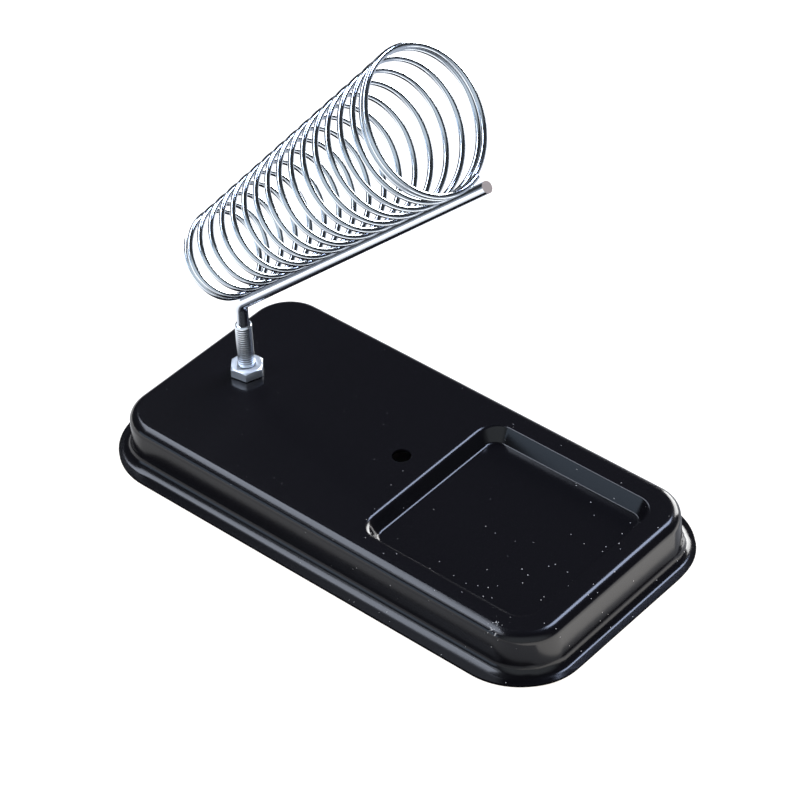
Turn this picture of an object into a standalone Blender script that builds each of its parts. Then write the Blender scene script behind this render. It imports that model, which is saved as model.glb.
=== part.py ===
"""Soldering iron stand: a pressed sheet-steel base, a post that swivels in it, and a wire coil.

Frame: +X runs along the base from the post towards the sponge well, +Z is up, the origin is
the middle of the base at the level that it stands on. All sizes are in metres.
"""

import math

import bmesh
import bpy
from mathutils import Matrix, Vector

# Base tray: one sheet pressed into a shallow upside-down pan with a flat outward flange
BASE_LENGTH = 0.165
BASE_WIDTH = 0.085
BASE_HEIGHT = 0.0142
SHEET = 0.0008
FLANGE_WIDTH = 0.0049          # from the foot of the wall to the flange's edge
FLANGE_CORNER = 0.0215         # trimmed corners, so the flange is narrower there
FOOT_FILLET = 0.0028
WALL_DRAFT = 0.0006            # how far the wall leans out from top to foot
WALL_CORNER = 0.0126
TOP_FILLET = 0.0024

# Sponge well, pressed into the top
WELL_LENGTH = 0.061
WELL_LAND = 0.0046             # flat rim left between the well and the top's three edges
WELL_DEPTH = 0.0045
WELL_CORNER = 0.0075
WELL_RIM_FILLET = 0.0020
WELL_FLOOR_FILLET = 0.0015
WELL_WALL_ANGLE = math.radians(62)

# Holes in the top
POST_INSET = 0.0236            # from the end of the base to the post's axis
POST_SIDE = 0.0011             # the post's offset from the base's centre line
SPARE_HOLE_DIAMETER = 0.0055
SPARE_HOLE_INSET = 0.0090      # from the well's rim to the hole's middle
SPARE_HOLE_SIDE = 0.0010       # the hole's offset from the base's centre line

# Rod: upright in the post, bent once, then straight under the coil
ROD_DIAMETER = 0.0035
BEND_RISE = 0.0253             # corner of the bend above the top of the base
BEND_RADIUS = 0.0045
ARM_RISE = math.radians(41.2)
ARM_LENGTH = 0.1135            # from the corner of the bend to the rod's free end
ARM_TURN = math.radians(6.4)   # where the swivel stands, turned off the base's long axis

# Coil: a conical spring with closed turns at both ends, laid along the top of the arm
WIRE_DIAMETER = 0.0017
COIL_REAR_RADIUS = 0.0125      # radii are to the middle of the wire
COIL_MOUTH_RADIUS = 0.0204
COIL_START = 0.0072            # from the corner of the bend to the first open turn
ROD_BEYOND_COIL = 0.0051
REAR_CLOSED_TURNS = 1.15
REAR_END_ANGLE = math.radians(36)   # where the wire's rear end stands on its ring, from the top
OPEN_TURNS = 14.5
MOUTH_CLOSED_TURNS = 1.79
CLOSED_GAP = 0.0003            # between neighbouring closed turns
RING_LEAN = math.radians(4)    # the turns lean towards the mouth

# Post: a hollow threaded stud that holds the rod, clamped through the base by two nuts
STUD_WALL = 0.00055
STUD_ABOVE_NUT = 0.0148
STUD_BELOW_NUT = 0.0015
STUD_CHAMFER = 0.0003
NUT_FLATS = 0.0090
NUT_CHAMFER = 0.0005
NUT_TURN = math.radians(3)     # the top nut's corners, turned from the arm's direction
POST_NUT_HEIGHT = 0.0029
BASE_NUT_HEIGHT = 0.0040
WASHER_DIAMETER = 0.0110
WASHER_HEIGHT = 0.0010
LOCK_WASHER_DIAMETER = 0.0090
LOCK_WASHER_HEIGHT = 0.0013
LOCK_WASHER_SLIT = 0.0010

# Clearances
SEAT_GAP = 0.0003              # between pieces that rest on each other
BORE_GAP = 0.0002              # between a rod or stud and the bore around it

# How finely round shapes are divided
CORNER_STEPS = 8
FILLET_STEPS = 4
HOLE_STEPS = 24
TURN_STEPS = 32
BEND_STEPS = 6
COIL_STEPS = 20
MERGE = 0.00001

STUD_DIAMETER = ROD_DIAMETER + 2 * (BORE_GAP + STUD_WALL)
STUD_HOLE_RADIUS = STUD_DIAMETER / 2 + SEAT_GAP
TOP_HALF_X = BASE_LENGTH / 2 - FLANGE_WIDTH - WALL_DRAFT - TOP_FILLET
TOP_HALF_Y = BASE_WIDTH / 2 - FLANGE_WIDTH - WALL_DRAFT - TOP_FILLET
TOP_CORNER = WALL_CORNER - WALL_DRAFT - TOP_FILLET
WELL_MIDDLE = Vector((TOP_HALF_X - WELL_LAND - WELL_LENGTH / 2, 0, 0))
WELL_HALF_Y = TOP_HALF_Y - WELL_LAND
POST_PLACE = Vector((POST_INSET - BASE_LENGTH / 2, POST_SIDE, 0))
SPARE_HOLE = Vector((WELL_MIDDLE.x - WELL_LENGTH / 2 - SPARE_HOLE_INSET, SPARE_HOLE_SIDE, 0))


def clear_scene():
    for obj in list(bpy.data.objects):
        bpy.data.objects.remove(obj, do_unlink=True)


def new_collection(name):
    collection = bpy.data.collections.new(name)
    bpy.context.scene.collection.children.link(collection)
    return collection


def new_material(name, colour, metallic, roughness):
    material = bpy.data.materials.new(name)
    material.use_nodes = True
    shader = material.node_tree.nodes["Principled BSDF"]
    shader.inputs["Base Color"].default_value = (*colour, 1)
    shader.inputs["Metallic"].default_value = metallic
    shader.inputs["Roughness"].default_value = roughness
    return material


def add_object(name, data, collection, material=None):
    obj = bpy.data.objects.new(name, data)
    collection.objects.link(obj)
    if material:
        data.materials.append(material)
    return obj


def mesh_from(bm, name):
    mesh = bpy.data.meshes.new(name)
    bm.to_mesh(mesh)
    bm.free()
    return mesh


def shade_round(mesh):
    mesh.shade_smooth()
    mesh.set_sharp_from_angle(angle=math.radians(35))


def rounded_loop(bm, half_x, half_y, radius, z, middle=Vector()):
    """A closed ring of edges round a rectangle with rounded corners, at one height."""
    verts = []
    corners = ((1, 1, 0), (-1, 1, 90), (-1, -1, 180), (1, -1, 270))
    for side_x, side_y, start in corners:
        for step in range(CORNER_STEPS + 1):
            angle = math.radians(start + 90 * step / CORNER_STEPS)
            x = side_x * (half_x - radius) + radius * math.cos(angle)
            y = side_y * (half_y - radius) + radius * math.sin(angle)
            verts.append(bm.verts.new(middle + Vector((x, y, z))))
    return ring_edges(bm, verts)


def round_loop(bm, radius, z, middle):
    """A closed ring of edges round a circle."""
    verts = []
    for step in range(HOLE_STEPS):
        angle = math.tau * step / HOLE_STEPS
        offset = Vector((radius * math.cos(angle), radius * math.sin(angle), z))
        verts.append(bm.verts.new(middle + offset))
    return ring_edges(bm, verts)


def ring_edges(bm, verts):
    return [bm.edges.new((verts[i - 1], verts[i])) for i in range(len(verts))]


def loft(bm, rings):
    for upper, lower in zip(rings, rings[1:]):
        bmesh.ops.bridge_loops(bm, edges=upper + lower)


def skirt_sections():
    """Outset from the flat top and height, from the top's edge down to the flange."""
    slope = math.atan2(WALL_DRAFT, BASE_HEIGHT - TOP_FILLET - FOOT_FILLET - SHEET)
    sections = []
    for step in range(FILLET_STEPS + 1):
        tilt = (math.pi / 2 - slope) * step / FILLET_STEPS
        drop = TOP_FILLET * (1 - math.cos(tilt))
        sections.append((TOP_FILLET * math.sin(tilt), BASE_HEIGHT - drop))
    foot = TOP_FILLET + WALL_DRAFT
    for step in range(FILLET_STEPS + 1):
        tilt = (math.pi / 2 - slope) * (1 - step / FILLET_STEPS)
        out = foot + FOOT_FILLET * (1 - math.sin(tilt))
        sections.append((out, SHEET + FOOT_FILLET * (1 - math.cos(tilt))))
    return sections


def well_sections():
    """Inset from the well's rim and height, from the flat top down to the well's floor."""
    sections = []
    for step in range(FILLET_STEPS + 1):
        tilt = WELL_WALL_ANGLE * step / FILLET_STEPS
        drop = WELL_RIM_FILLET * (1 - math.cos(tilt))
        sections.append((WELL_RIM_FILLET * math.sin(tilt), BASE_HEIGHT - drop))
    floor = BASE_HEIGHT - WELL_DEPTH
    rim_inset, rim_height = sections[-1]
    fillet_rise = WELL_FLOOR_FILLET * (1 - math.cos(WELL_WALL_ANGLE))
    wall_run = (rim_height - floor - fillet_rise) / math.tan(WELL_WALL_ANGLE)
    floor_inset = rim_inset + wall_run + WELL_FLOOR_FILLET * math.sin(WELL_WALL_ANGLE)
    for step in range(FILLET_STEPS + 1):
        tilt = WELL_WALL_ANGLE * (1 - step / FILLET_STEPS)
        inset = floor_inset - WELL_FLOOR_FILLET * math.sin(tilt)
        sections.append((inset, floor + WELL_FLOOR_FILLET * (1 - math.cos(tilt))))
    return sections


def make_base_tray(collection, material):
    """The upper skin is lofted ring by ring, then thickened downwards into sheet metal."""
    bm = bmesh.new()
    skirt = [
        rounded_loop(bm, TOP_HALF_X + out, TOP_HALF_Y + out, TOP_CORNER + out, z)
        for out, z in skirt_sections()
    ]
    skirt.append(rounded_loop(bm, BASE_LENGTH / 2, BASE_WIDTH / 2, FLANGE_CORNER, SHEET))
    loft(bm, skirt)
    well = [
        rounded_loop(
            bm, WELL_LENGTH / 2 - inset, WELL_HALF_Y - inset, WELL_CORNER - inset, z, WELL_MIDDLE
        )
        for inset, z in well_sections()
    ]
    loft(bm, well)
    bmesh.ops.contextual_create(bm, geom=well[-1])
    holes = round_loop(bm, STUD_HOLE_RADIUS, BASE_HEIGHT, POST_PLACE)
    holes += round_loop(bm, SPARE_HOLE_DIAMETER / 2, BASE_HEIGHT, SPARE_HOLE)
    top_edges = skirt[0] + well[0] + holes
    bmesh.ops.triangle_fill(bm, edges=top_edges, use_beauty=True, normal=(0, 0, 1))
    bmesh.ops.recalc_face_normals(bm, faces=bm.faces)
    bm.normal_update()
    if max(bm.faces, key=lambda face: face.calc_area()).normal.z < 0:
        bmesh.ops.reverse_faces(bm, faces=bm.faces)
    mesh = mesh_from(bm, "base_tray")
    shade_round(mesh)
    tray = add_object("base_tray", mesh, collection, material)
    shell = tray.modifiers.new("sheet", "SOLIDIFY")
    shell.thickness = SHEET
    shell.offset = -1
    shell.use_even_offset = True
    return tray


def turned(name, profile, collection, material):
    """A closed profile of (radius, height) points turned round the Z axis."""
    bm = bmesh.new()
    ring_edges(bm, [bm.verts.new((radius, 0, height)) for radius, height in profile])
    mesh = mesh_from(bm, name)
    obj = add_object(name, mesh, collection, material)
    screw = obj.modifiers.new("turn", "SCREW")
    screw.steps = TURN_STEPS
    screw.render_steps = TURN_STEPS
    screw.use_merge_vertices = True
    screw.merge_threshold = MERGE
    screw.use_smooth_shade = False
    return obj


def washer_profile(outer, inner, bottom, top):
    return [(inner, top), (outer, top), (outer, bottom), (inner, bottom)]


def stud_profile(bottom, top):
    outer = STUD_DIAMETER / 2
    inner = ROD_DIAMETER / 2 + BORE_GAP
    cut = STUD_CHAMFER
    return [
        (inner, top),
        (outer - cut, top),
        (outer, top - cut),
        (outer, bottom + cut),
        (outer - cut, bottom),
        (inner, bottom),
    ]


def cylinder_mesh(name, radius, height, segments):
    bm = bmesh.new()
    bmesh.ops.create_cone(
        bm, cap_ends=True, segments=segments, radius1=radius, radius2=radius, depth=height
    )
    return mesh_from(bm, name)


def add_cutter(name, mesh, cutters, location):
    cutter = add_object(name, mesh, cutters)
    cutter.location = location
    cutter.hide_render = True
    cutter.display_type = "WIRE"
    return cutter


def add_boolean(obj, cutter, operation):
    cut = obj.modifiers.new(operation.lower(), "BOOLEAN")
    cut.operation = operation
    cut.object = cutter
    cut.solver = "EXACT"


def make_nut(name, height, middle_z, turn, parts, cutters, material, pivot):
    """A hexagon with its corners chamfered, and a clear bore for the stud."""
    mesh = cylinder_mesh(name, NUT_FLATS / math.sqrt(3), height, segments=6)
    nut = add_object(name, mesh, parts, material)
    nut.parent = pivot
    nut.location = (0, 0, middle_z)
    # A cone's first corner lies on +Y
    nut.rotation_euler = (0, 0, turn - math.pi / 2)
    middle = pivot.matrix_world @ Vector((0, 0, middle_z))
    corner_radius = NUT_FLATS / math.sqrt(3) + BORE_GAP
    dome_mesh = cylinder_mesh(name + "_chamfer", corner_radius, height, TURN_STEPS)
    dome = add_cutter(name + "_chamfer", dome_mesh, cutters, middle)
    edge = dome.modifiers.new("chamfer", "BEVEL")
    edge.width = NUT_CHAMFER + BORE_GAP
    edge.segments = 1
    edge.limit_method = "ANGLE"
    bore_mesh = cylinder_mesh(name + "_bore", STUD_DIAMETER / 2 + BORE_GAP, 2 * height, TURN_STEPS)
    bore = add_cutter(name + "_bore", bore_mesh, cutters, middle)
    add_boolean(nut, dome, "INTERSECT")
    add_boolean(nut, bore, "DIFFERENCE")
    return nut


def wire_object(name, points, diameter, bevel_resolution, collection, material, pivot):
    """Round wire of one thickness along a line of points."""
    curve = bpy.data.curves.new(name, "CURVE")
    curve.dimensions = "3D"
    curve.bevel_depth = diameter / 2
    curve.bevel_resolution = bevel_resolution
    curve.use_fill_caps = True
    spline = curve.splines.new("POLY")
    spline.points.add(len(points) - 1)
    for spot, point in zip(spline.points, points):
        spot.co = (*point, 1)
    spline.use_smooth = True
    obj = add_object(name, curve, collection, material)
    obj.parent = pivot
    return obj


def arm_axes():
    """Unit vectors along the arm and square to it, upwards."""
    along = Vector((math.cos(ARM_RISE), 0, math.sin(ARM_RISE)))
    above = Vector((-math.sin(ARM_RISE), 0, math.cos(ARM_RISE)))
    return along, above


def rod_points(bottom, corner):
    """Straight up from the bottom, round the bend, and out along the arm."""
    along, above = arm_axes()
    turn = math.pi / 2 - ARM_RISE
    setback = BEND_RADIUS * math.tan(turn / 2)
    start = corner - Vector((0, 0, setback))
    centre = start + Vector((BEND_RADIUS, 0, 0))
    points = [Vector((0, 0, bottom))]
    for step in range(BEND_STEPS + 1):
        angle = math.pi - turn * step / BEND_STEPS
        spoke = Vector((math.cos(angle), 0, math.sin(angle)))
        points.append(centre + BEND_RADIUS * spoke)
    points.append(corner + along * ARM_LENGTH)
    return points


def coil_station(turn, open_pitch):
    """How far along the arm a point of the coil touches, from the first open turn."""
    closed_pitch = WIRE_DIAMETER + CLOSED_GAP
    if turn < REAR_CLOSED_TURNS:
        return (turn - REAR_CLOSED_TURNS) * closed_pitch
    opened = turn - REAR_CLOSED_TURNS
    if opened < OPEN_TURNS:
        return opened * open_pitch
    return OPEN_TURNS * open_pitch + (opened - OPEN_TURNS) * closed_pitch


def coil_points(corner):
    """A right-handed helix whose every turn touches one line just above the rod."""
    along, above = arm_axes()
    side = along.cross(above)
    lean = math.cos(RING_LEAN) * above + math.sin(RING_LEAN) * along
    closed = MOUTH_CLOSED_TURNS * (WIRE_DIAMETER + CLOSED_GAP)
    length = ARM_LENGTH - COIL_START - ROD_BEYOND_COIL
    open_pitch = (length - closed) / OPEN_TURNS
    lift = ROD_DIAMETER / 2 + SEAT_GAP + WIRE_DIAMETER / 2
    first = corner + along * COIL_START + above * lift
    turns = REAR_CLOSED_TURNS + OPEN_TURNS + MOUTH_CLOSED_TURNS
    count = round(turns * COIL_STEPS)
    points = []
    for index in range(count + 1):
        turn = turns * index / count
        station = coil_station(turn, open_pitch)
        share = min(max(station / length, 0), 1)
        radius = COIL_REAR_RADIUS + (COIL_MOUTH_RADIUS - COIL_REAR_RADIUS) * share
        angle = math.tau * turn + REAR_END_ANGLE
        middle = first + along * station + lean * radius
        spoke = lean * math.cos(angle) + side * math.sin(angle)
        points.append(middle + radius * spoke)
    return points


def make_arm(parts, cutters, zinc, chrome):
    """Everything that turns with the post, hung from an empty on the post's axis."""
    pivot = bpy.data.objects.new("arm_pivot", None)
    parts.objects.link(pivot)
    pivot.location = POST_PLACE
    pivot.rotation_euler = (0, 0, ARM_TURN)
    pivot.matrix_world = Matrix.Translation(pivot.location) @ Matrix.Rotation(ARM_TURN, 4, "Z")

    nut_bottom = BASE_HEIGHT + SEAT_GAP
    nut_top = nut_bottom + POST_NUT_HEIGHT
    make_nut(
        "post_nut", POST_NUT_HEIGHT, (nut_bottom + nut_top) / 2, NUT_TURN,
        parts, cutters, zinc, pivot,
    )
    washer_top = BASE_HEIGHT - SHEET - SEAT_GAP
    washer_bottom = washer_top - WASHER_HEIGHT
    lock_top = washer_bottom - SEAT_GAP
    lock_bottom = lock_top - LOCK_WASHER_HEIGHT
    lower_top = lock_bottom - SEAT_GAP
    lower_bottom = lower_top - BASE_NUT_HEIGHT
    make_nut(
        "base_nut", BASE_NUT_HEIGHT, (lower_top + lower_bottom) / 2, 0,
        parts, cutters, zinc, pivot,
    )
    washer = turned(
        "plain_washer",
        washer_profile(WASHER_DIAMETER / 2, STUD_HOLE_RADIUS, washer_bottom, washer_top),
        parts, zinc,
    )
    lock_washer = turned(
        "lock_washer",
        washer_profile(LOCK_WASHER_DIAMETER / 2, STUD_HOLE_RADIUS, lock_bottom, lock_top),
        parts, zinc,
    )
    slit_middle = pivot.matrix_world @ Vector((LOCK_WASHER_DIAMETER / 2, 0, lock_top))
    slit_mesh = cylinder_mesh("lock_washer_slit", LOCK_WASHER_DIAMETER / 2, LOCK_WASHER_SLIT, 4)
    slit = add_cutter("lock_washer_slit", slit_mesh, cutters, slit_middle)
    slit.rotation_euler = (math.pi / 2, 0, ARM_TURN)
    add_boolean(lock_washer, slit, "DIFFERENCE")

    stud_bottom = lower_bottom - STUD_BELOW_NUT
    stud = turned(
        "post_stud", stud_profile(stud_bottom, nut_top + STUD_ABOVE_NUT), parts, zinc
    )
    for piece in (washer, lock_washer, stud):
        piece.parent = pivot

    corner = Vector((0, 0, BASE_HEIGHT + BEND_RISE))
    wire_object(
        "support_rod", rod_points(stud_bottom, corner), ROD_DIAMETER, 4, parts, zinc, pivot
    )
    wire_object("holder_coil", coil_points(corner), WIRE_DIAMETER, 2, parts, chrome, pivot)


def main():
    clear_scene()
    parts = new_collection("soldering_iron_stand")
    cutters = new_collection("cutters")
    paint = new_material("black_gloss_paint", (0.006, 0.006, 0.008), 0.0, 0.12)
    zinc = new_material("bright_zinc", (0.72, 0.76, 0.80), 1.0, 0.22)
    chrome = new_material("bright_wire", (0.66, 0.70, 0.74), 1.0, 0.12)
    make_base_tray(parts, paint)
    make_arm(parts, cutters, zinc, chrome)


main()
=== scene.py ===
import math

import bmesh
import bpy
from mathutils import Matrix, Vector


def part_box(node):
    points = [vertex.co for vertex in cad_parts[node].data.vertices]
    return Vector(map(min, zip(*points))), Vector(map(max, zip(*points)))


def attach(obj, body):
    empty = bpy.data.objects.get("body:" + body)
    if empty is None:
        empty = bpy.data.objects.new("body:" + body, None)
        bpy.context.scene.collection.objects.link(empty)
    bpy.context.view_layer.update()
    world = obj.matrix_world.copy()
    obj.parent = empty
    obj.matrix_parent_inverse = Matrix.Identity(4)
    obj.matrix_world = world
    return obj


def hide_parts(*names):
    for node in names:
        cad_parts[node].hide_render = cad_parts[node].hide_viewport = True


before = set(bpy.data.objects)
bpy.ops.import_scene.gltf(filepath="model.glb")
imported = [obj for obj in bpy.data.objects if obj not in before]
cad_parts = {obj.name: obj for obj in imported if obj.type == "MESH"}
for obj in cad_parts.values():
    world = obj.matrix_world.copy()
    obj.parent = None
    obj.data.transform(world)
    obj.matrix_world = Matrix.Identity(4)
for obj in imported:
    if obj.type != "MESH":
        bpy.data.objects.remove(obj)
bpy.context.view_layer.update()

# The view and the room. The stand is seen from above its near long side. The enamel and the
# plating reflect soft panels and a room that is light behind the viewer and dark elsewhere.

EYE_AZIMUTH = math.radians(42.672)
EYE_ELEVATION = math.radians(40.476)
EYE_ROLL = math.radians(-2.903)
EYE_DISTANCE = 0.929485
EYE_TARGET = Vector((-0.003435, 0.005263, 0.030))
LENS_MM = 150.46

camera = bpy.data.objects.new("camera", bpy.data.cameras.new("camera"))
camera.data.lens = LENS_MM
camera.data.sensor_width = 36
turn = Matrix.Rotation(EYE_AZIMUTH, 4, "Z") @ Matrix.Rotation(math.pi / 2 - EYE_ELEVATION, 4, "X")
camera.matrix_world = (
    Matrix.Translation(EYE_TARGET)
    @ turn
    @ Matrix.Translation((0, 0, EYE_DISTANCE))
    @ Matrix.Rotation(EYE_ROLL, 4, "Z")
)
bpy.context.scene.collection.objects.link(camera)
bpy.context.scene.camera = camera
bpy.context.scene.view_settings.view_transform = "Standard"


def link(obj):
    """Puts an object into the scene, and hands it back."""
    bpy.context.scene.collection.objects.link(obj)
    return obj


def new_material(name, colour, metallic, roughness):
    """A material with its main values on its shader; returns the material and the shader."""
    material = bpy.data.materials.new(name)
    material.use_nodes = True
    shader = material.node_tree.nodes["Principled BSDF"]
    shader.inputs["Base Color"].default_value = (*colour, 1)
    shader.inputs["Metallic"].default_value = metallic
    shader.inputs["Roughness"].default_value = roughness
    return material, shader


def math_node(tree, operation, *terms):
    """A Math node in any node tree; its terms are sockets or numbers, and it returns its result."""
    node = tree.nodes.new("ShaderNodeMath")
    node.operation = operation
    for slot, term in zip(node.inputs, terms):
        if isinstance(term, (int, float)):
            slot.default_value = term
        else:
            tree.links.new(term, slot)
    return node.outputs[0]


def change_along(tree, source, low, high, at_low, at_high):
    """A clamped straight change from one value to another, as a source goes from low to high."""
    ramp = tree.nodes.new("ShaderNodeMapRange")
    labels = ("From Min", "From Max", "To Min", "To Max")
    for label, value in zip(labels, (low, high, at_low, at_high)):
        ramp.inputs[label].default_value = value
    tree.links.new(source, ramp.inputs["Value"])
    return ramp.outputs[0]


def soft_panel(name, place, aim, size, power, colour):
    """A rectangular area light at a place, facing a point."""
    light = bpy.data.lights.new(name, "AREA")
    light.shape = "RECTANGLE"
    light.size, light.size_y = size
    light.energy = power
    light.color = colour
    panel = link(bpy.data.objects.new(name, light))
    away = Vector(place) - Vector(aim)
    panel.visible_camera = False
    facing_aim = away.to_track_quat("Z", "Y").to_matrix().to_4x4()
    panel.matrix_world = Matrix.Translation(place) @ facing_aim
    return panel


stand_middle = Vector((0, 0, 0.03))
soft_panel("key_panel", (-0.57, -0.16, 0.93), stand_middle, (1.25, 0.36), 10.5, (0.78, 0.85, 1.0))
soft_panel("near_panel", (-0.38, -0.80, 0.76), stand_middle, (0.4, 0.4), 1.6, (0.80, 0.87, 1.0))
soft_panel("edge_panel", (0.17, 0.62, 0.90), stand_middle, (0.34, 0.45), 7.5, (0.62, 0.72, 1.0))
soft_panel("back_panel", (-0.08, 1.42, 0.40), stand_middle, (0.90, 0.72), 26.0, (1, 1, 1))
soft_panel("window_panel", (-0.85, -1.35, 0.22), stand_middle, (1.0, 0.5), 2.6, (0.62, 0.78, 1.0))

VIEWER_SIDE = (0.6777, -0.7353, 0)
ROOM_DARK = 0.04
ROOM_BRIGHT = 0.85
world = bpy.data.worlds.new("room")
bpy.context.scene.world = world
world.use_nodes = True
room = world.node_tree
gaze = room.nodes.new("ShaderNodeTexCoord")
facing = room.nodes.new("ShaderNodeVectorMath")
facing.operation = "DOT_PRODUCT"
facing.inputs[1].default_value = VIEWER_SIDE
room.links.new(gaze.outputs["Generated"], facing.inputs[0])
mirrored_room = room.nodes["Background"]
mirrored_room.inputs["Color"].default_value = (0.85, 0.93, 1, 1)
room_light = change_along(room, facing.outputs["Value"], 0.45, 0.75, ROOM_DARK, ROOM_BRIGHT)
room.links.new(room_light, mirrored_room.inputs["Strength"])
backdrop = room.nodes.new("ShaderNodeBackground")
backdrop.inputs["Color"].default_value = (1, 1, 1, 1)
seen = room.nodes.new("ShaderNodeLightPath")
either = room.nodes.new("ShaderNodeMixShader")
room.links.new(seen.outputs["Is Camera Ray"], either.inputs[0])
room.links.new(mirrored_room.outputs[0], either.inputs[1])
room.links.new(backdrop.outputs[0], either.inputs[2])
room.links.new(either.outputs[0], room.nodes["World Output"].inputs["Surface"])

# The white sheet that the stand is on. It glows, and it is plain white to the eye. What the enamel
# mirrors of it is painted light and painted shade in that glow: a painted shadow near the base,
# dimmer behind it and towards the right, a painted pool of light beside the right end past a
# painted shadow strip, and black in a band round the base. Beneath the base it does not glow.

FLOOR_SIZE = 3.0
FLOOR_ALBEDO = 0.30
FLOOR_SEEN = 0.95
# FLOOR_NEAR, FLOOR_FAR and FLOOR_RIGHT are strengths of painted light in the glow that the enamel
# mirrors.
FLOOR_NEAR = 0.50
FLOOR_FAR = 1.4
FLOOR_RIGHT = 2.0
FLOOR_REACH = 0.36
FLOOR_CORNER = 0.0215
UNDER_FLANGE = 0.001
# SHADE_WIDTH is the width of a painted shadow band round the base; END_GAP is the width of a
# painted shadow strip beside the right end.
SHADE_WIDTH = 0.0015
END_GAP = 0.0035
END_DEPTH = 0.07
END_HALF_WIDTH = 0.09


def mesh_from(build, name):
    """Turns a finished build into a mesh."""
    mesh = bpy.data.meshes.new(name)
    build.to_mesh(mesh)
    build.free()
    return mesh


floor_build = bmesh.new()
bmesh.ops.create_grid(floor_build, x_segments=1, y_segments=1, size=FLOOR_SIZE)
floor_mesh = mesh_from(floor_build, "floor")
floor = link(bpy.data.objects.new("floor", floor_mesh))
floor_white, shader = new_material("floor_white", (FLOOR_ALBEDO,) * 3, 0.0, 0.7)
sheet = floor_white.node_tree


def sheet_math(operation, *terms):
    return math_node(sheet, operation, *terms)


_, base_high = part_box("base_tray")
coord = sheet.nodes.new("ShaderNodeTexCoord")
split = sheet.nodes.new("ShaderNodeSeparateXYZ")
sheet.links.new(coord.outputs["Object"], split.inputs[0])
overhang = []
for label, half in (("X", base_high[0]), ("Y", base_high[1])):
    apart = sheet_math("ABSOLUTE", split.outputs[label])
    apart = sheet_math("MAXIMUM", sheet_math("SUBTRACT", apart, half - FLOOR_CORNER), 0)
    overhang.append(sheet_math("POWER", apart, 2))
outside = sheet_math("SQRT", sheet_math("ADD", *overhang))
open_floor = sheet_math("GREATER_THAN", outside, FLOOR_CORNER - UNDER_FLANGE)
off_shade = sheet_math("GREATER_THAN", outside, FLOOR_CORNER + SHADE_WIDTH)

# Painted light and painted shade in the mirrored glow: dim near the base and behind it, dimmer
# towards the right, and a painted pool of light beside the right end, past a painted shadow strip.
reach = sheet.nodes.new("ShaderNodeVectorMath")
reach.operation = "LENGTH"
sheet.links.new(coord.outputs["Object"], reach.inputs[0])
in_reach = sheet_math("LESS_THAN", reach.outputs["Value"], FLOOR_REACH)
from_base = change_along(
    sheet, outside, FLOOR_CORNER + 0.008, FLOOR_CORNER + 0.09, FLOOR_NEAR, FLOOR_FAR
)
to_back = change_along(sheet, split.outputs["Y"], 0.02, 0.06, 1.0, 0.15)
to_right = change_along(sheet, split.outputs["X"], -0.04, 0.12, 1.0, 0.35)
open_sheet = sheet_math("MULTIPLY", sheet_math("MULTIPLY", from_base, to_back), to_right)

past_end = sheet_math("SUBTRACT", split.outputs["X"], base_high[0])
across = sheet_math("ABSOLUTE", split.outputs["Y"])
painted_end_light = sheet_math("MULTIPLY", sheet_math("GREATER_THAN", past_end, END_GAP),
                    sheet_math("LESS_THAN", across, END_HALF_WIDTH))
painted_end_light = sheet_math("MULTIPLY", painted_end_light, sheet_math("LESS_THAN", past_end, END_DEPTH))
painted_floor_light = sheet_math("MAXIMUM", open_sheet, sheet_math("MULTIPLY", painted_end_light, FLOOR_RIGHT))
mirrored = sheet_math("MULTIPLY", painted_floor_light, sheet_math("MULTIPLY", in_reach, off_shade))

# The camera sees the even white glow, mirrored rays see the painted light and painted shade;
# beneath the base there is no glow for any ray.
seen_by = sheet.nodes.new("ShaderNodeLightPath")
pick = sheet.nodes.new("ShaderNodeMix")
sheet.links.new(seen_by.outputs["Is Camera Ray"], pick.inputs["Factor"])
sheet.links.new(mirrored, pick.inputs["A"])
pick.inputs["B"].default_value = FLOOR_SEEN
glow = sheet_math("MULTIPLY", pick.outputs["Result"], open_floor)
sheet.links.new(glow, shader.inputs["Emission Strength"])
shader.inputs["Emission Color"].default_value = (1, 0.96, 0.90, 1)
# Painted contact shadow: for mirrored rays the sheet's colour is black in the band round the base.
lit = sheet_math("MAXIMUM", seen_by.outputs["Is Camera Ray"], off_shade)
albedo_with_painted_shadow = sheet_math("MULTIPLY", FLOOR_ALBEDO, lit)
white_with_painted_shadow = sheet.nodes.new("ShaderNodeCombineColor")
for channel in white_with_painted_shadow.inputs[:3]:
    sheet.links.new(albedo_with_painted_shadow, channel)
sheet.links.new(white_with_painted_shadow.outputs[0], shader.inputs["Base Color"])
floor_mesh.materials.append(floor_white)

# The base tray: one steel sheet pressed into a shallow upside-down pan, with a flange to stand on
# and a square well for the sponge, then enamelled black all over, its edges too. Its right end has
# been knocked: the wall is pushed out at the foot, and the flange is dented.

SHEET = 0.0008
FLANGE = 0.0055
FLANGE_CORNER = 0.0215
FOOT_FILLET = 0.0032
FLANGE_SLOPE = math.radians(1)
WALL_CORNER = 0.0126
TOP_FILLET = 0.0030
WELL_LENGTH = 0.061
WELL_LAND = 0.0040
WELL_DEPTH = 0.0045
WELL_CORNER = 0.0075
WELL_RIM_FILLET = 0.0020
WELL_FLOOR_FILLET = 0.0015
WELL_FAR_FILLET = 0.0004
WELL_WALL_ANGLE = math.radians(62)
STUD_RADIUS = 0.0025
POST_HOLE_GAP = 0.0002
SPARE_HOLE_RADIUS = 0.00275
SPARE_HOLE_GAP = 0.0090
SPARE_HOLE_OFFSET = 0.0010
KNOCK_HALF_WIDTH = 0.036
KNOCK_PUSH = 0.0024
KNOCK_LIFT = 0.0011
KNOCK_DENT = 0.0005
KNOCK_WAVE = 0.024
KNOCK_WAVE_START = 0.8
KNOCK_BOW = 1.3
HOLE_STEPS = 48
CORNER_STEPS = 20
FILLET_STEPS = 10
_, tray_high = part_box("base_tray")
half_length, half_width, base_height = tray_high
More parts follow.
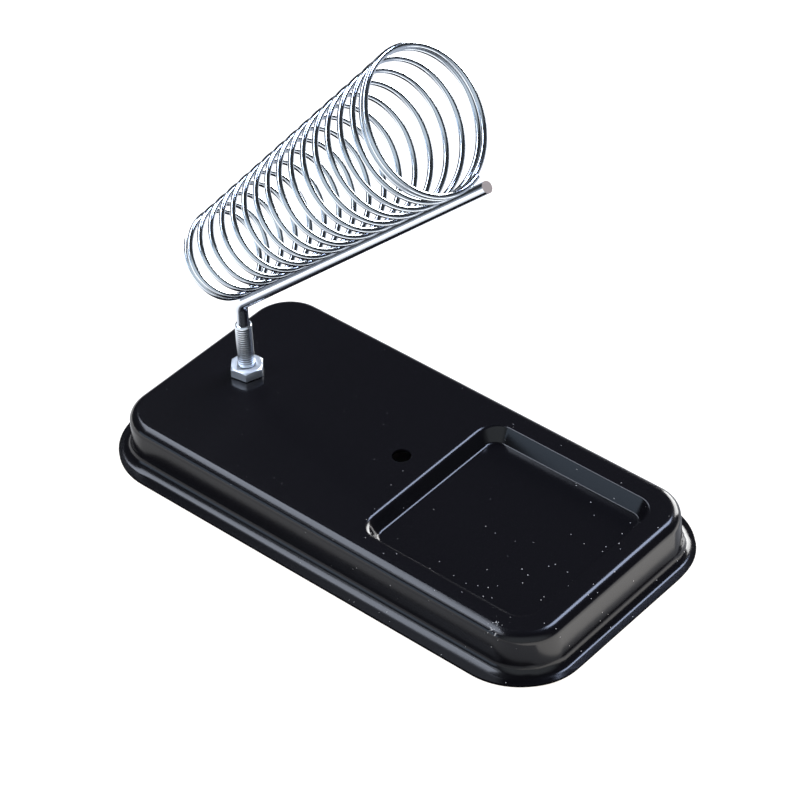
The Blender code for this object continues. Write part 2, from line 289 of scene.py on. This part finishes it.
top_half_x = half_length - FLANGE - TOP_FILLET
top_half_y = half_width - FLANGE - TOP_FILLET
stud_low, stud_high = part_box("post_stud")
post_x = (stud_low[0] + stud_high[0]) / 2
post_y = (stud_low[1] + stud_high[1]) / 2
well_middle = Vector((top_half_x - WELL_LAND - WELL_LENGTH / 2, 0, 0))
well_half_y = top_half_y - WELL_LAND
spare_hole = Vector((well_middle.x - WELL_LENGTH / 2 - SPARE_HOLE_GAP, SPARE_HOLE_OFFSET, 0))


def ring_edges(build, verts):
    """The edges that close a ring of points."""
    return [build.edges.new((verts[i - 1], verts[i])) for i in range(len(verts))]


def rounded_loop(build, half_x, half_y, radius, z, centre=Vector()):
    """A closed ring of edges round a rectangle with rounded corners, at one height."""
    verts = []
    for side_x, side_y, start in ((1, 1, 0), (-1, 1, 90), (-1, -1, 180), (1, -1, 270)):
        for step in range(CORNER_STEPS + 1):
            angle = math.radians(start + 90 * step / CORNER_STEPS)
            x = side_x * (half_x - radius) + radius * math.cos(angle)
            y = side_y * (half_y - radius) + radius * math.sin(angle)
            verts.append(build.verts.new(centre + Vector((x, y, z))))
    return ring_edges(build, verts)


def round_loop(build, radius, z, centre, steps):
    """A closed ring of edges round a circle, at one height."""
    verts = []
    for step in range(steps):
        angle = math.tau * step / steps
        offset = Vector((radius * math.cos(angle), radius * math.sin(angle), z))
        verts.append(build.verts.new(centre + offset))
    return ring_edges(build, verts)


def loft(build, rings):
    """A skin from each ring to the next."""
    for upper, lower in zip(rings, rings[1:]):
        bmesh.ops.bridge_loops(build, edges=upper + lower)


tray_build = bmesh.new()
foot_out = FOOT_FILLET * (1 - math.sin(FLANGE_SLOPE))
foot_z = SHEET + (FLANGE - foot_out) * math.tan(FLANGE_SLOPE)
foot_z -= FOOT_FILLET * (1 - math.cos(FLANGE_SLOPE))
skirt_line = []
for step in range(FILLET_STEPS + 1):
    tilt = math.pi / 2 * step / FILLET_STEPS
    drop = TOP_FILLET * (1 - math.cos(tilt))
    skirt_line.append((TOP_FILLET * math.sin(tilt), base_height - drop))
for step in range(FILLET_STEPS + 1):
    tilt = FLANGE_SLOPE + (math.pi / 2 - FLANGE_SLOPE) * (1 - step / FILLET_STEPS)
    out = TOP_FILLET + FOOT_FILLET * (1 - math.sin(tilt))
    skirt_line.append((out, foot_z + FOOT_FILLET * (1 - math.cos(tilt))))
skirt = []
for out, z in skirt_line:
    corner = WALL_CORNER - TOP_FILLET + out
    skirt.append(rounded_loop(tray_build, top_half_x + out, top_half_y + out, corner, z))
skirt.append(rounded_loop(tray_build, half_length, half_width, FLANGE_CORNER, SHEET))
loft(tray_build, skirt)

rim_inset = WELL_RIM_FILLET * math.sin(WELL_WALL_ANGLE)
rim_drop = WELL_RIM_FILLET * (1 - math.cos(WELL_WALL_ANGLE))
floor_rise = WELL_FLOOR_FILLET * (1 - math.cos(WELL_WALL_ANGLE))
wall_run = (WELL_DEPTH - rim_drop - floor_rise) / math.tan(WELL_WALL_ANGLE)
floor_inset = rim_inset + wall_run + WELL_FLOOR_FILLET * math.sin(WELL_WALL_ANGLE)
well_line = []
for step in range(FILLET_STEPS + 1):
    tilt = WELL_WALL_ANGLE * step / FILLET_STEPS
    drop = WELL_RIM_FILLET * (1 - math.cos(tilt))
    well_line.append((WELL_RIM_FILLET * math.sin(tilt), base_height - drop))
for step in range(FILLET_STEPS + 1):
    tilt = WELL_WALL_ANGLE * (1 - step / FILLET_STEPS)
    rise = WELL_FLOOR_FILLET * (1 - math.cos(tilt))
    inset = floor_inset - WELL_FLOOR_FILLET * math.sin(tilt)
    well_line.append((inset, base_height - WELL_DEPTH + rise))
well = []
for inset, z in well_line:
    half_x = WELL_LENGTH / 2 - inset
    half_y = well_half_y - inset
    well.append(
        rounded_loop(tray_build, half_x, half_y, WELL_CORNER - inset, z, well_middle)
    )
far_top = rim_inset - rim_drop / math.tan(WELL_WALL_ANGLE)
far_tangent = WELL_FAR_FILLET * math.tan(WELL_WALL_ANGLE / 2)
far_line = [(0, base_height)]
for step in range(FILLET_STEPS):
    tilt = WELL_WALL_ANGLE * step / (FILLET_STEPS - 1)
    inset = far_top - far_tangent + WELL_FAR_FILLET * math.sin(tilt)
    far_line.append((inset, base_height - WELL_FAR_FILLET * (1 - math.cos(tilt))))
far_floor = far_top + WELL_DEPTH / math.tan(WELL_WALL_ANGLE) + far_tangent
for step in range(FILLET_STEPS):
    tilt = WELL_WALL_ANGLE * (1 - step / (FILLET_STEPS - 1))
    inset = far_floor - WELL_FAR_FILLET * math.sin(tilt)
    rise = WELL_FAR_FILLET * (1 - math.cos(tilt))
    far_line.append((inset, base_height - WELL_DEPTH + rise))
far_line.append(well_line[-1])
for ring, (inset, z), (far_inset, far_z) in zip(well, well_line, far_line):
    far_y = well_half_y - inset
    for vert in {vert for edge in ring for vert in edge.verts}:
        near_far_side = max(0, 1 - (far_y - vert.co.y) / WELL_CORNER)
        vert.co.y += near_far_side * (inset - far_inset)
        vert.co.z += near_far_side * (far_z - z)
loft(tray_build, well)
bmesh.ops.contextual_create(tray_build, geom=well[-1])
post_foot = Vector((post_x, post_y, 0))
post_hole = STUD_RADIUS + POST_HOLE_GAP
hole_edges = round_loop(tray_build, post_hole, base_height, post_foot, HOLE_STEPS)
hole_edges += round_loop(tray_build, SPARE_HOLE_RADIUS, base_height, spare_hole, HOLE_STEPS)
bmesh.ops.triangle_fill(
    tray_build, edges=skirt[0] + well[0] + hole_edges, use_beauty=True, normal=(0, 0, 1)
)

wall_foot_x = half_length - FLANGE
wall_foot_z = foot_z + FOOT_FILLET
for vert in tray_build.verts:
    if vert.co.x <= top_half_x:
        continue
    middle = max(0, 1 - (vert.co.y / KNOCK_HALF_WIDTH) ** 2)
    down = (base_height - vert.co.z) / (base_height - wall_foot_z)
    outward = (vert.co.x - wall_foot_x) / FLANGE
    on_flange = max(0, outward)
    push = min(max(down, 0), 1) ** KNOCK_BOW * (1 - on_flange)
    wave = math.sin(vert.co.y * math.tau / KNOCK_WAVE + KNOCK_WAVE_START) * on_flange
    dent = KNOCK_DENT * on_flange
    vert.co.x += middle * (KNOCK_PUSH * push - dent * (1 + wave) / 2)
    vert.co.z += middle * (KNOCK_LIFT * push + dent * (1 - wave) / 4)
bmesh.ops.recalc_face_normals(tray_build, faces=tray_build.faces)
tray_build.normal_update()
if max(tray_build.faces, key=lambda face: face.calc_area()).normal.z < 0:
    bmesh.ops.reverse_faces(tray_build, faces=tray_build.faces)
tray_mesh = mesh_from(tray_build, "pressed_tray")
tray_mesh.shade_smooth()
tray = link(bpy.data.objects.new("pressed_tray", tray_mesh))
skin = tray.modifiers.new("sheet", "SOLIDIFY")
skin.thickness = SHEET
skin.offset = -1
skin.use_even_offset = True
edges = tray.modifiers.new("edges", "EDGE_SPLIT")
edges.split_angle = math.radians(50)
flat = tray.modifiers.new("flat", "WEIGHTED_NORMAL")
flat.keep_sharp = True

ENAMEL_BLACK = (0.0050, 0.0046, 0.0060)
ENAMEL_ROUGHNESS = 0.17
BARE_GREY = (0.42, 0.40, 0.38)
BARE_ROUGHER = 0.5
DUST_SCALE = 330
DUST_SMALL = 0.020
DUST_LARGE = 0.060
FLAKE_SCALE = 1100
CHIPPED_EDGE = (0.064, -0.0355, 0.0135)
CHIPPED_REACH = 0.008


def noise_over(tree, coord, scale, detail):
    """Noise over a piece's own coordinates."""
    noise = tree.nodes.new("ShaderNodeTexNoise")
    noise.inputs["Scale"].default_value = scale
    noise.inputs["Detail"].default_value = detail
    tree.links.new(coord.outputs["Object"], noise.inputs["Vector"])
    return noise.outputs["Fac"]


def fine_waves(tree, shader, coord, scale, strength, depth):
    """Waves in a surface that are too fine for the mesh."""
    bump = tree.nodes.new("ShaderNodeBump")
    bump.inputs["Strength"].default_value = strength
    bump.inputs["Distance"].default_value = depth
    tree.links.new(noise_over(tree, coord, scale, 2), bump.inputs["Height"])
    tree.links.new(bump.outputs["Normal"], shader.inputs["Normal"])


enamel, shader = new_material("black_enamel", ENAMEL_BLACK, 0.0, ENAMEL_ROUGHNESS)
shader.inputs["Specular IOR Level"].default_value = 0.38
coat = enamel.node_tree
coord = coat.nodes.new("ShaderNodeTexCoord")
fine_waves(coat, shader, coord, 260, 0.04, 0.0004)
place = coat.nodes.new("ShaderNodeSeparateXYZ")
coat.links.new(coord.outputs["Object"], place.inputs[0])
cells = coat.nodes.new("ShaderNodeTexVoronoi")
cells.inputs["Scale"].default_value = DUST_SCALE
coat.links.new(coord.outputs["Object"], cells.inputs["Vector"])
dust_size = change_along(coat, place.outputs["X"], -0.03, 0.05, DUST_SMALL, DUST_LARGE)
dust = math_node(coat, "LESS_THAN", cells.outputs["Distance"], dust_size)
from_chips = coat.nodes.new("ShaderNodeVectorMath")
from_chips.operation = "DISTANCE"
from_chips.inputs[1].default_value = CHIPPED_EDGE
coat.links.new(coord.outputs["Object"], from_chips.inputs[0])
bare_at = change_along(coat, from_chips.outputs["Value"], 0.001, CHIPPED_REACH, 0.60, 0.90)
flakes = noise_over(coat, coord, FLAKE_SCALE, 3)
chip = math_node(coat, "GREATER_THAN", flakes, bare_at)
marked = math_node(coat, "MAXIMUM", dust, chip)
paint = coat.nodes.new("ShaderNodeMix")
paint.data_type = "RGBA"
coat.links.new(marked, paint.inputs["Factor"])
paint.inputs["A"].default_value = (*ENAMEL_BLACK, 1)
paint.inputs["B"].default_value = (*BARE_GREY, 1)
coat.links.new(paint.outputs["Result"], shader.inputs["Base Color"])
coat.links.new(
    math_node(coat, "MULTIPLY_ADD", marked, BARE_ROUGHER, ENAMEL_ROUGHNESS),
    shader.inputs["Roughness"],
)
tray_mesh.materials.append(enamel)
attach(tray, "base")
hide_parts("base_tray")

# The two nuts: cold-formed hexagons, chamfered above, bright zinc plated. The upper one clamps
# the post down on the base, the lower one takes the pull from underneath.

NUT_FLATS = 0.0090
NUT_TURN = math.radians(9.4)
LOWER_NUT_TURN = math.radians(29.4)
CHAMFER_INSET = 0.0001
CHAMFER_REACH = 0.0002
CHAMFER_SLOPE = 0.58
CONE_STEPS = 96
BORE_STEPS = 64
BORE_GAP = 0.00012
NUT_EDGE_ROUND = 0.00012


def chamfered_nut(name, node, turn, both_ends):
    """A hexagon cut by a cone at its ends, with a bore that the post fills."""
    low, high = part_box(node)
    height = high[2] - low[2]
    corner = NUT_FLATS / math.sqrt(3)
    build = bmesh.new()
    bmesh.ops.create_cone(
        build, cap_ends=True, segments=6, radius1=corner, radius2=corner, depth=height
    )
    nut = link(bpy.data.objects.new(name, mesh_from(build, name)))
    nut.rotation_euler = (0, 0, turn - math.pi / 2)
    nut.location = (post_x, post_y, (low[2] + high[2]) / 2)

    face_radius = NUT_FLATS / 2 - CHAMFER_INSET
    run = corner - face_radius + CHAMFER_REACH
    top = height / 2
    chamfered = top - run * CHAMFER_SLOPE
    profile = [(face_radius, top), (face_radius + run, chamfered)]
    if both_ends:
        profile += [(face_radius + run, -chamfered), (face_radius, -top)]
    else:
        profile += [(face_radius + run, -top)]
    build = bmesh.new()
    loft(build, [round_loop(build, radius, z, Vector(), CONE_STEPS) for radius, z in profile])
    bmesh.ops.holes_fill(build, edges=build.edges)
    bmesh.ops.recalc_face_normals(build, faces=build.faces)
    cone = link(bpy.data.objects.new(name + "_cone", mesh_from(build, name + "_cone")))
    cone.location = nut.location

    build = bmesh.new()
    bore_radius = STUD_RADIUS + BORE_GAP
    bmesh.ops.create_cone(
        build, cap_ends=True, segments=BORE_STEPS, radius1=bore_radius, radius2=bore_radius,
        depth=2 * height,
    )
    bore = link(bpy.data.objects.new(name + "_bore", mesh_from(build, name + "_bore")))
    bore.location = nut.location

    for cutter, operation in ((cone, "INTERSECT"), (bore, "DIFFERENCE")):
        cut = nut.modifiers.new(operation.lower(), "BOOLEAN")
        cut.operation = operation
        cut.object = cutter
        cut.solver = "EXACT"
    edge = nut.modifiers.new("edge", "BEVEL")
    edge.width = NUT_EDGE_ROUND
    edge.segments = 2
    edge.limit_method = "ANGLE"
    edge.angle_limit = math.radians(25)
    bpy.context.view_layer.update()
    graph = bpy.context.evaluated_depsgraph_get()
    shaped = bpy.data.meshes.new_from_object(nut.evaluated_get(graph))
    shaped.transform(nut.matrix_world)
    for old in (nut, cone, bore):
        bpy.data.objects.remove(old)
    shaped.shade_smooth()
    shaped.set_sharp_from_angle(angle=math.radians(30))
    return link(bpy.data.objects.new(name, shaped))


def zinc_plating(name, metallic, roughness):
    """Bright zinc over a fine grain left by the forming."""
    plating, shader = new_material(name, (0.80, 0.85, 0.91), metallic, roughness)
    tree = plating.node_tree
    fine_waves(tree, shader, tree.nodes.new("ShaderNodeTexCoord"), 1400, 0.10, 0.0001)
    return plating


zinc = zinc_plating("bright_zinc", 0.9, 0.38)
top_nut = chamfered_nut("top_nut", "post_nut", NUT_TURN, False)
lower_nut = chamfered_nut("lower_nut", "base_nut", LOWER_NUT_TURN, True)
for nut, node in ((top_nut, "post_nut"), (lower_nut, "base_nut")):
    nut.data.materials.clear()
    nut.data.materials.append(zinc)
    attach(nut, "arm")
    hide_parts(node)

# The post: a plated steel sleeve with a shallow thread, standing through the base. The rod is
# swaged into its bore, and the nuts clamp it.

SLEEVE_STEPS = 64
ROD_RADIUS = 0.00175
THREAD_PITCH = 0.0008
THREAD_DEPTH = 0.00008
STEPS_PER_PITCH = 8
SLEEVE_END = 0.0004
SLEEVE_END_TAPER = 0.8
SWAGE_GAP = 0.00005

sleeve_bottom = stud_low[2]
sleeve_length = stud_high[2] - sleeve_bottom
thread_rows = round(sleeve_length / THREAD_PITCH * STEPS_PER_PITCH)
sleeve_build = bmesh.new()
sleeve_rings = []
for row in range(thread_rows + 1):
    up = sleeve_length * row / thread_rows
    from_end = min(up, sleeve_length - up)
    tapered = max(0, SLEEVE_END - from_end) * SLEEVE_END_TAPER
    ring = []
    for step in range(SLEEVE_STEPS):
        turned_by = step / SLEEVE_STEPS
        wave = abs((up / THREAD_PITCH - turned_by) % 1 - 0.5) * 2
        radius = STUD_RADIUS - THREAD_DEPTH * wave - tapered
        angle = math.tau * turned_by
        spot = Vector((radius * math.cos(angle), radius * math.sin(angle), sleeve_bottom + up))
        ring.append(sleeve_build.verts.new(post_foot + spot))
    sleeve_rings.append(ring_edges(sleeve_build, ring))
for z in (stud_high[2], sleeve_bottom):
    sleeve_rings.append(
        round_loop(sleeve_build, ROD_RADIUS + SWAGE_GAP, z, post_foot, SLEEVE_STEPS)
    )
sleeve_rings.append(sleeve_rings[0])
loft(sleeve_build, sleeve_rings)
bmesh.ops.recalc_face_normals(sleeve_build, faces=sleeve_build.faces)
sleeve_mesh = mesh_from(sleeve_build, "post_sleeve")
sleeve_mesh.shade_smooth()
sleeve_mesh.set_sharp_from_angle(angle=math.radians(50))
sleeve = link(bpy.data.objects.new("post_sleeve", sleeve_mesh))
sleeve_mesh.materials.append(zinc_plating("sleeve_zinc", 1.0, 0.24))
sleeve.visible_glossy = False
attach(sleeve, "arm")
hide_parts("post_stud")

# The washers under the base: a stamped plain one against the sheet, which spreads the nut's load,
# and a spring one that keeps the nut from working loose. Both are zinc plated.

WASHER_GAP = 0.0003
WASHER_EDGE = 0.0001


def turned_ring(name, profile):
    """A closed profile of (radius, height) points turned round the post's axis."""
    build = bmesh.new()
    loft(build, [
        round_loop(build, radius, z, post_foot, SLEEVE_STEPS)
        for radius, z in profile + profile[:1]
    ])
    bmesh.ops.remove_doubles(build, verts=build.verts, dist=0.000001)
    bmesh.ops.recalc_face_normals(build, faces=build.faces)
    mesh = mesh_from(build, name)
    mesh.shade_smooth()
    mesh.set_sharp_from_angle(angle=math.radians(40))
    return link(bpy.data.objects.new(name, mesh))


for name, node in (("flat_washer", "plain_washer"), ("split_washer", "lock_washer")):
    low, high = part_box(node)
    outer = (high[0] - low[0]) / 2
    inner = STUD_RADIUS + WASHER_GAP
    ring = turned_ring(name, [
        (inner, high[2] - WASHER_EDGE), (inner + WASHER_EDGE, high[2]),
        (outer - WASHER_EDGE, high[2]), (outer, high[2] - WASHER_EDGE),
        (outer, low[2] + WASHER_EDGE), (outer - WASHER_EDGE, low[2]),
        (inner + WASHER_EDGE, low[2]), (inner, low[2] + WASHER_EDGE),
    ])
    ring.data.materials.append(zinc)
    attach(ring, "arm")
    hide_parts(node)

# The rod: drawn and plated steel, bent once over a small former and then sheared to length, which
# leaves a bare end. Its foot stands in the sleeve, and it carries the coil.

ARM_RISE = math.radians(41.2)
ARM_TURN = math.radians(6.4)
BEND_RISE = 0.0253
BEND_RADIUS = 0.0045
ARM_LENGTH = 0.1135
BEND_STEPS = 24
ROD_SIDES = 14
arm_place = (
    Matrix.Translation((post_x, post_y, base_height + BEND_RISE))
    @ Matrix.Rotation(ARM_TURN, 4, "Z")
)
along = Vector((math.cos(ARM_RISE), 0, math.sin(ARM_RISE)))


def tube_along(name, points, radius, resolution):
    """A tube of one thickness along a line of points, turned into a mesh."""
    curve = bpy.data.curves.new(name, "CURVE")
    curve.dimensions = "3D"
    curve.bevel_depth = radius
    curve.bevel_resolution = resolution
    curve.use_fill_caps = True
    spline = curve.splines.new("POLY")
    spline.points.add(len(points) - 1)
    for spot, point in zip(spline.points, points):
        spot.co = (*point, 1)
    spline.use_smooth = True
    drawn = link(bpy.data.objects.new(name, curve))
    bpy.context.view_layer.update()
    graph = bpy.context.evaluated_depsgraph_get()
    mesh = bpy.data.meshes.new_from_object(drawn.evaluated_get(graph))
    bpy.data.objects.remove(drawn)
    build = bmesh.new()
    build.from_mesh(mesh)
    bmesh.ops.remove_doubles(build, verts=build.verts, dist=0.000001)
    bmesh.ops.recalc_face_normals(build, faces=build.faces)
    build.to_mesh(mesh)
    build.free()
    mesh.shade_smooth()
    mesh.set_sharp_from_angle(angle=math.radians(45))
    return link(bpy.data.objects.new(name, mesh))


bend_turn = math.pi / 2 - ARM_RISE
setback = BEND_RADIUS * math.tan(bend_turn / 2)
bend_middle = Vector((BEND_RADIUS, 0, -setback))
rod_line = [Vector((0, 0, sleeve_bottom - base_height - BEND_RISE))]
for step in range(BEND_STEPS + 1):
    angle = math.pi - bend_turn * step / BEND_STEPS
    rod_line.append(bend_middle + BEND_RADIUS * Vector((math.cos(angle), 0, math.sin(angle))))
rod_line.append(along * ARM_LENGTH)
rod = tube_along("bent_rod", [arm_place @ point for point in rod_line], ROD_RADIUS, ROD_SIDES)
plated, _ = new_material("plated_rod", (0.74, 0.79, 0.85), 1.0, 0.13)
sheared, _ = new_material("sheared_end", (0.40, 0.33, 0.29), 0.3, 0.6)
rod.data.materials.clear()
for finish in (plated, sheared):
    rod.data.materials.append(finish)
rod_axis = (arm_place.to_3x3() @ along).normalized()
for face in rod.data.polygons:
    if face.normal.dot(rod_axis) > 0.99:
        face.material_index = 1
rod.visible_glossy = False
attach(rod, "arm")
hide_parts("support_rod")

# The coil: bright drawn wire wound on a tapered former, with one closed turn at the rear and
# nearly two at the mouth. Every turn touches the rod's upper side, and is spot welded to it.

WIRE_RADIUS = 0.00085
REAR_RADIUS = 0.0125
MOUTH_RADIUS = 0.0204
COIL_START = 0.0072
ROD_BEYOND = 0.0051
REAR_CLOSED = 1.15
REAR_END_ANGLE = math.radians(36)
OPEN_TURNS = 14.5
MOUTH_CLOSED = 1.79
CLOSED_PITCH = 0.00172
RING_LEAN = math.radians(4)
POINTS_PER_TURN = 72
WIRE_SIDES = 14
WELD_SIZE = (0.0014, 0.0009, 0.0005)
WELD_SMALLEST = 0.85
WELD_LARGEST = 1.15
WELD_SEED = 7
WELD_BITE = 0.9
WELD_SINK = 0.00005
coil_length = ARM_LENGTH - COIL_START - ROD_BEYOND
open_pitch = (coil_length - MOUTH_CLOSED * CLOSED_PITCH) / OPEN_TURNS

coil_tree = bpy.data.node_groups.new("wind_coil", "GeometryNodeTree")
sockets = {}
for label, kind in (
    ("Wire radius", "NodeSocketFloat"), ("Rear radius", "NodeSocketFloat"),
    ("Mouth radius", "NodeSocketFloat"), ("Rear closed turns", "NodeSocketFloat"),
    ("Open turns", "NodeSocketFloat"), ("Mouth closed turns", "NodeSocketFloat"),
    ("Closed pitch", "NodeSocketFloat"), ("Open pitch", "NodeSocketFloat"),
    ("Coil length", "NodeSocketFloat"), ("Lean", "NodeSocketFloat"),
    ("Rear end angle", "NodeSocketFloat"), ("Weld size", "NodeSocketVector"),
    ("Points per turn", "NodeSocketInt"), ("Wire sides", "NodeSocketInt"),
    ("Material", "NodeSocketMaterial"),
):
    item = coil_tree.interface.new_socket(label, in_out="INPUT", socket_type=kind)
    sockets[label] = item.identifier
coil_tree.interface.new_socket("Geometry", in_out="OUTPUT", socket_type="NodeSocketGeometry")
given = coil_tree.nodes.new("NodeGroupInput").outputs


def maths(operation, *terms):
    return math_node(coil_tree, operation, *terms)


def between(value, low, high):
    return maths("MINIMUM", maths("MAXIMUM", value, low), high)


def tree_node(kind, **links_in):
    node = coil_tree.nodes.new(kind)
    for label, source in links_in.items():
        coil_tree.links.new(source, node.inputs[label])
    return node


def station_at(turn_no):
    """How far along the rod a point of the wire stands, from how many turns come before it."""
    past_rear = maths("SUBTRACT", turn_no, given["Rear closed turns"])
    in_rear = maths("MINIMUM", past_rear, 0)
    in_open = between(past_rear, 0, given["Open turns"])
    in_mouth = maths("MAXIMUM", maths("SUBTRACT", past_rear, given["Open turns"]), 0)
    closed_run = maths("MULTIPLY", maths("ADD", in_rear, in_mouth), given["Closed pitch"])
    return maths("ADD", closed_run, maths("MULTIPLY", in_open, given["Open pitch"]))


turns_total = maths("ADD", maths("ADD", given["Rear closed turns"], given["Open turns"]),
                    given["Mouth closed turns"])
line = coil_tree.nodes.new("GeometryNodeMeshLine")
coil_tree.links.new(maths("ADD", maths("MULTIPLY", turns_total, given["Points per turn"]), 1),
                    line.inputs["Count"])
index = coil_tree.nodes.new("GeometryNodeInputIndex").outputs[0]
turn_no = maths("DIVIDE", index, given["Points per turn"])
station = station_at(turn_no)
share = between(maths("DIVIDE", station, given["Coil length"]), 0, 1)
widening = maths("SUBTRACT", given["Mouth radius"], given["Rear radius"])
ring_radius = maths("ADD", given["Rear radius"], maths("MULTIPLY", share, widening))
angle = maths("MULTIPLY_ADD", turn_no, math.tau, given["Rear end angle"])
height = maths("MULTIPLY", ring_radius, maths("ADD", maths("COSINE", angle), 1))
point = coil_tree.nodes.new("ShaderNodeCombineXYZ")
coil_tree.links.new(maths("ADD", station, maths("MULTIPLY", height, maths("SINE", given["Lean"]))),
                    point.inputs["X"])
coil_tree.links.new(maths("MULTIPLY", ring_radius, maths("MULTIPLY", maths("SINE", angle), -1)),
                    point.inputs["Y"])
coil_tree.links.new(maths("MULTIPLY", height, maths("COSINE", given["Lean"])), point.inputs["Z"])
placed = tree_node("GeometryNodeSetPosition", Geometry=line.outputs["Mesh"],
                   Position=point.outputs[0])
path = tree_node("GeometryNodeMeshToCurve", Mesh=placed.outputs[0])
section = tree_node("GeometryNodeCurvePrimitiveCircle", Resolution=given["Wire sides"],
                    Radius=given["Wire radius"])
wire = coil_tree.nodes.new("GeometryNodeCurveToMesh")
wire.inputs["Fill Caps"].default_value = True
coil_tree.links.new(path.outputs[0], wire.inputs["Curve"])
coil_tree.links.new(section.outputs["Curve"], wire.inputs["Profile Curve"])
first_weld = maths("DIVIDE", maths("SUBTRACT", math.pi, given["Rear end angle"]), math.tau)
weld_count = maths("FLOOR", maths("ADD", maths("SUBTRACT", turns_total, first_weld), 1))
weld_line = coil_tree.nodes.new("GeometryNodeMeshLine")
coil_tree.links.new(weld_count, weld_line.inputs["Count"])
weld_spot = coil_tree.nodes.new("ShaderNodeCombineXYZ")
coil_tree.links.new(station_at(maths("ADD", index, first_weld)), weld_spot.inputs["X"])
coil_tree.links.new(maths("MULTIPLY", given["Wire radius"], -WELD_BITE), weld_spot.inputs["Z"])
weld_points = tree_node("GeometryNodeSetPosition", Geometry=weld_line.outputs["Mesh"],
                        Position=weld_spot.outputs[0])
bead = coil_tree.nodes.new("GeometryNodeMeshIcoSphere")
bead.inputs["Subdivisions"].default_value = 4
bead.inputs["Radius"].default_value = 1
vary = coil_tree.nodes.new("FunctionNodeRandomValue")
vary.inputs[2].default_value = WELD_SMALLEST
vary.inputs[3].default_value = WELD_LARGEST
vary.inputs["Seed"].default_value = WELD_SEED
bead_size = coil_tree.nodes.new("ShaderNodeVectorMath")
bead_size.operation = "SCALE"
coil_tree.links.new(given["Weld size"], bead_size.inputs[0])
coil_tree.links.new(vary.outputs[1], bead_size.inputs["Scale"])
beads = tree_node("GeometryNodeInstanceOnPoints", Points=weld_points.outputs[0],
                  Instance=bead.outputs["Mesh"], Scale=bead_size.outputs[0])
both = coil_tree.nodes.new("GeometryNodeJoinGeometry")
for source in (beads, wire):
    coil_tree.links.new(source.outputs[0], both.inputs[0])
real = tree_node("GeometryNodeRealizeInstances", Geometry=both.outputs[0])
finish = tree_node("GeometryNodeSetMaterial", Geometry=real.outputs[0],
                   Material=given["Material"])
result = coil_tree.nodes.new("NodeGroupOutput")
coil_tree.links.new(finish.outputs[0], result.inputs["Geometry"])

bright, _ = new_material("bright_wire", (0.66, 0.72, 0.78), 1.0, 0.12)

coil_seed = bpy.data.objects.new("coil_seed", bpy.data.meshes.new("coil_seed"))
link(coil_seed)
winder = coil_seed.modifiers.new("wind", "NODES")
winder.node_group = coil_tree
for label, value in (
    ("Wire radius", WIRE_RADIUS), ("Rear radius", REAR_RADIUS), ("Mouth radius", MOUTH_RADIUS),
    ("Rear closed turns", REAR_CLOSED), ("Open turns", OPEN_TURNS),
    ("Mouth closed turns", MOUTH_CLOSED), ("Closed pitch", CLOSED_PITCH),
    ("Open pitch", open_pitch), ("Coil length", coil_length), ("Lean", RING_LEAN),
    ("Rear end angle", REAR_END_ANGLE), ("Weld size", WELD_SIZE),
    ("Points per turn", POINTS_PER_TURN), ("Wire sides", WIRE_SIDES), ("Material", bright),
):
    winder[sockets[label]] = value
bpy.context.view_layer.update()
graph = bpy.context.evaluated_depsgraph_get()
coil_mesh = bpy.data.meshes.new_from_object(coil_seed.evaluated_get(graph))
bpy.data.objects.remove(coil_seed)
coil_mesh.name = "wire_coil"
lift = ROD_RADIUS + WIRE_RADIUS - WELD_SINK
coil_place = (
    arm_place @ Matrix.Rotation(-ARM_RISE, 4, "Y") @ Matrix.Translation((COIL_START, 0, lift))
)
coil_mesh.transform(coil_place)
coil_build = bmesh.new()
coil_build.from_mesh(coil_mesh)
bmesh.ops.remove_doubles(coil_build, verts=coil_build.verts, dist=0.000001)
bmesh.ops.recalc_face_normals(coil_build, faces=coil_build.faces)
coil_build.to_mesh(coil_mesh)
coil_build.free()
coil_mesh.shade_smooth()
coil_mesh.set_sharp_from_angle(angle=math.radians(50))
coil = link(bpy.data.objects.new("wire_coil", coil_mesh))
coil.visible_glossy = False
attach(coil, "arm")
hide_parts("holder_coil")
